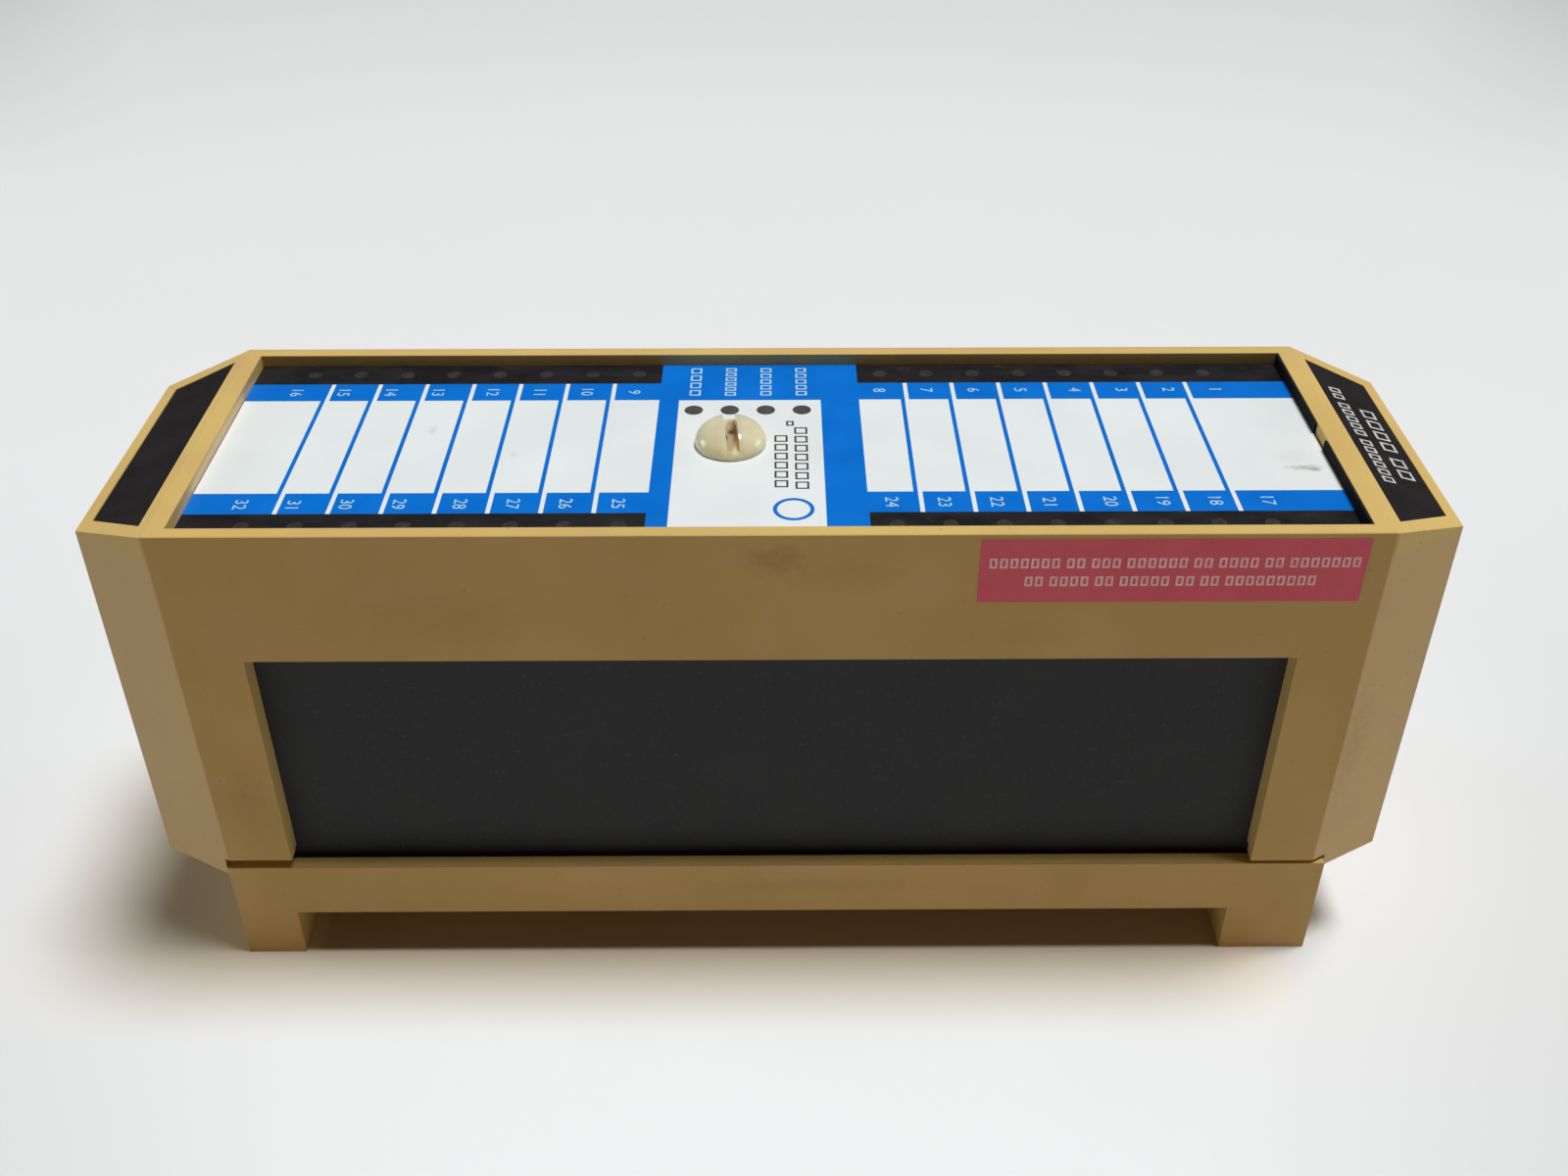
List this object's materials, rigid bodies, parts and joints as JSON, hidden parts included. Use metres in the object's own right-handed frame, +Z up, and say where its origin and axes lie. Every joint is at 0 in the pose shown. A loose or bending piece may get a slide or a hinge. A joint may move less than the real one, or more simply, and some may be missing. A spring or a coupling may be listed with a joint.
{
  "type": "plc input module",
  "caption": "Long moulded plug-in control module with a recessed channel legend, side panels, a footed base frame, underside plug connectors and a captive centre screw.",
  "frame": {"origin": "on the plane of the feet, under the middle of the casing", "axes": "+X along the casing, +Y towards the rear long face, +Z up through the legend"},
  "size_m": [0.2642, 0.0763, 0.1135],
  "materials": {
    "tan_moulding": "fine moulded grain, matt",
    "legend_print": "printed sheet, satin",
    "end_plate_black": "printed sheet, satin",
    "label_red": "self-adhesive film",
    "panel_black": "matt sheet",
    "black_foam": "closed-cell foam",
    "cream_nylon": "moulded nylon",
    "plated_steel": "zinc plated",
    "aluminium_tube": "drawn tube",
    "board_green": "glass-fibre laminate with solder resist",
    "black_resin": "moulded resin",
    "connector_grey": "glass-filled resin",
    "contact_gold": "gold flash",
    "resistor_body": "coated film",
    "chip_white": "moulded resin",
    "capacitor_red": "dipped resin",
    "lamp_red": "tinted epoxy",
    "chip_ceramic": "glazed seal",
    "heat_sink_black": "black anodised",
    "capacitor_sleeve": "shrink sleeve",
    "choke_wire": "enamelled copper",
    "fuse_glass": "clear"
  },
  "bodies": {
    "module": {"casing": "tan_moulding", "base_frame": "tan_moulding", "legend_plate": "legend_print", "legend_seal": "black_foam", "left_end_plate": "end_plate_black", "right_end_plate": "end_plate_black", "side_label": "label_red", "front_side_panel": "panel_black", "rear_side_panel": "panel_black", "screw_sleeve": "aluminium_tube", "front_input_board": "board_green", "rear_input_board": "board_green", "indicator_board": "board_green", "backplane_board": "board_green", "front_edge_socket": "black_resin", "rear_edge_socket": "black_resin", "front_indicator_header": "black_resin", "rear_indicator_header": "black_resin", "left_connector": "connector_grey", "right_connector": "connector_grey", "left_connector_pins": "contact_gold", "right_connector_pins": "contact_gold", "front_resistors": "resistor_body", "rear_resistors": "resistor_body", "front_optocouplers": "chip_white", "rear_optocouplers": "chip_white", "front_capacitors": "capacitor_red", "rear_capacitors": "capacitor_red", "front_logic_chips": "black_resin", "rear_logic_chips": "black_resin", "channel_lamps": "lamp_red", "status_lamps": "lamp_red", "lamp_holders": "black_resin", "microcontroller": "black_resin", "program_memory": "chip_ceramic", "crystal": "plated_steel", "bus_drivers": "black_resin", "voltage_regulator": "black_resin", "heat_sink": "heat_sink_black", "bulk_capacitors": "capacitor_sleeve", "power_choke": "choke_wire", "fuse": "fuse_glass", "fuse_clips": "plated_steel", "base_screws": "plated_steel", "backplane_screws": "plated_steel", "indicator_screws": "plated_steel"},
    "clip": {"screw_clip": "plated_steel"},
    "screw": {"retaining_screw": "cream_nylon"}
  },
  "joints": [
    {"name": "screw_lift", "type": "slide", "parent": "module", "child": "clip", "axis": [0, 0, 1], "range_m": [0, 0.008]},
    {"name": "screw_turn", "type": "hinge", "parent": "clip", "child": "screw", "pos_m": [-0.0082, 0, 0.06], "axis": [0, 0, 1], "continuous": true}
  ]
}
